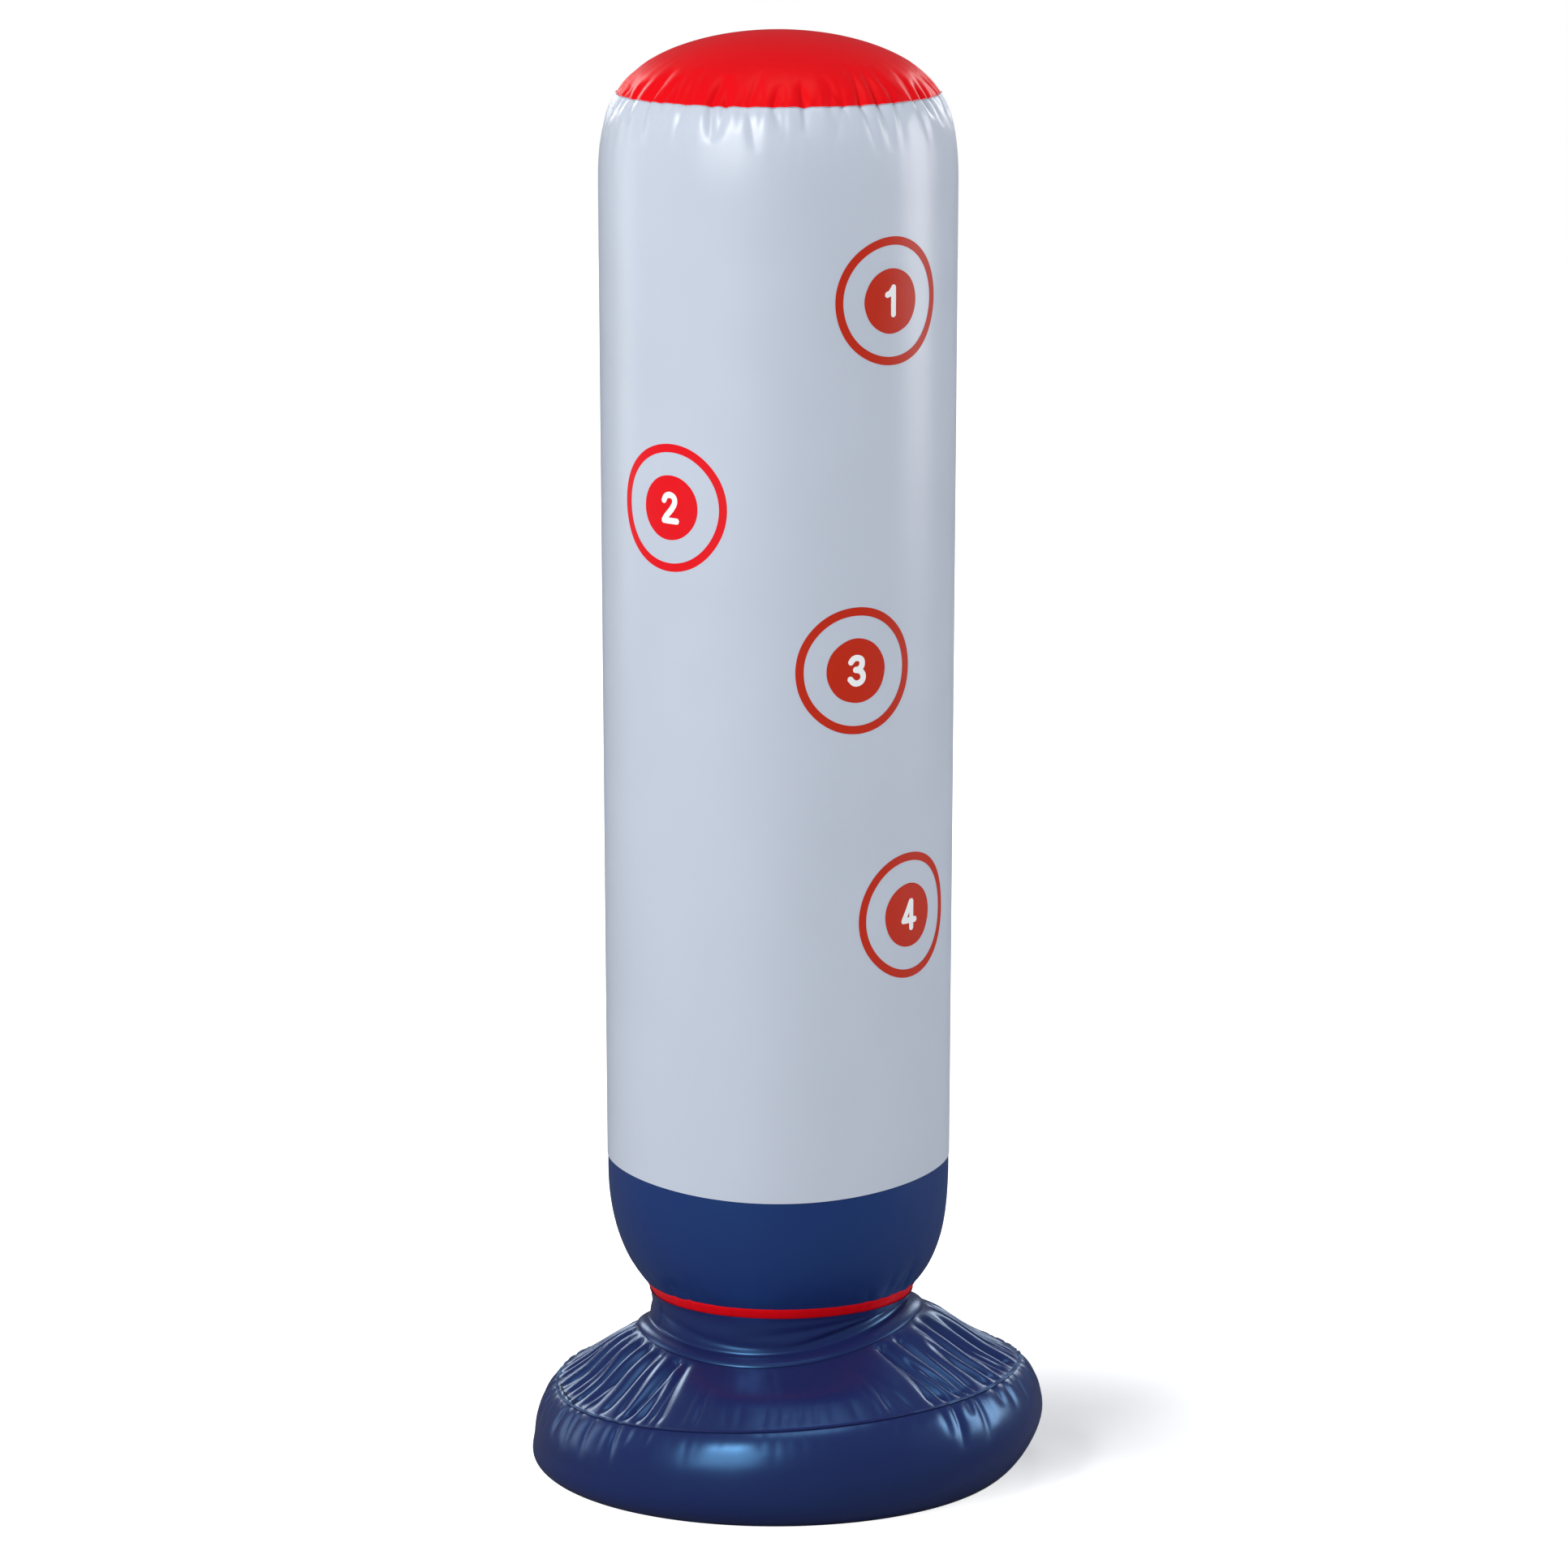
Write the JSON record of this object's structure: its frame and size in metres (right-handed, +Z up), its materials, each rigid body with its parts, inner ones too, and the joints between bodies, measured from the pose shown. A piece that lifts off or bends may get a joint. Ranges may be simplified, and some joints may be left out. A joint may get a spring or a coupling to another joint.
{
  "type": "inflatable punching toy",
  "caption": "Free-standing inflatable punching column with a red domed top, pale wall and navy skirt, on a soft neck over a wide water-filled base, with plugged valves at the back.",
  "frame": {"origin": "on the floor, below the middle of the base, which is the centre of the bounding box's bottom face", "axes": "+Z up along the column, -Y towards the struck front, +X to the right as seen from the front, valves at +Y"},
  "size_m": [0.4246, 0.4246, 1.2002],
  "materials": {
    "red_vinyl": "gloss",
    "white_vinyl": "gloss",
    "skirt_blue_vinyl": "gloss",
    "base_blue_vinyl": "gloss",
    "valve_vinyl": "satin",
    "water": "gloss"
  },
  "bodies": {
    "base": {"base_bottom_panel": "base_blue_vinyl", "base_side_panel": "base_blue_vinyl", "base_top_panel": "base_blue_vinyl", "water_ballast": "water", "filler_socket": "valve_vinyl", "filler_strap": "valve_vinyl"},
    "filler_stopper": {"filler_plug": "valve_vinyl"},
    "neck": {"neck_sleeve": "base_blue_vinyl"},
    "column": {"column_floor": "red_vinyl", "column_skirt": "skirt_blue_vinyl", "column_wall": "white_vinyl", "top_panel": "red_vinyl", "air_valve_flange": "valve_vinyl", "air_valve_diaphragm": "valve_vinyl"},
    "air_stem": {"air_valve_stem": "valve_vinyl", "air_valve_strap": "valve_vinyl"},
    "air_stopper": {"air_valve_plug": "valve_vinyl"},
    "air_flap": {"air_valve_flap": "valve_vinyl"}
  },
  "joints": [
    {"name": "sway_fore_aft", "type": "hinge", "parent": "base", "child": "neck", "pos_m": [0, 0, 0.1395], "axis": [1, 0, 0], "range_deg": [-8, 8], "stiffness_Nm_per_rad": 18, "deforming": ["neck_sleeve"]},
    {"name": "sway_sideways", "type": "hinge", "parent": "neck", "child": "column", "pos_m": [0, 0, 0.1395], "axis": [0, 1, 0], "range_deg": [-8, 8], "stiffness_Nm_per_rad": 18, "deforming": ["neck_sleeve"]},
    {"name": "filler_plug_pull", "type": "slide", "parent": "base", "child": "filler_stopper", "axis": [0, 0.4771, 0.8789], "range_m": [0, 0.03], "deforming": ["filler_strap"]},
    {"name": "air_stem_pull", "type": "slide", "parent": "column", "child": "air_stem", "axis": [0, 1, 0], "range_m": [0, 0.012], "deforming": ["air_valve_diaphragm"]},
    {"name": "air_plug_pull", "type": "slide", "parent": "air_stem", "child": "air_stopper", "axis": [0, 1, 0], "range_m": [0, 0.022], "deforming": ["air_valve_strap"]},
    {"name": "air_flap_swing", "type": "hinge", "parent": "air_stem", "child": "air_flap", "pos_m": [0, 0.12557, 0.39742], "axis": [-1, 0, 0], "range_deg": [0, 60], "stiffness_Nm_per_rad": 0.0002}
  ]
}
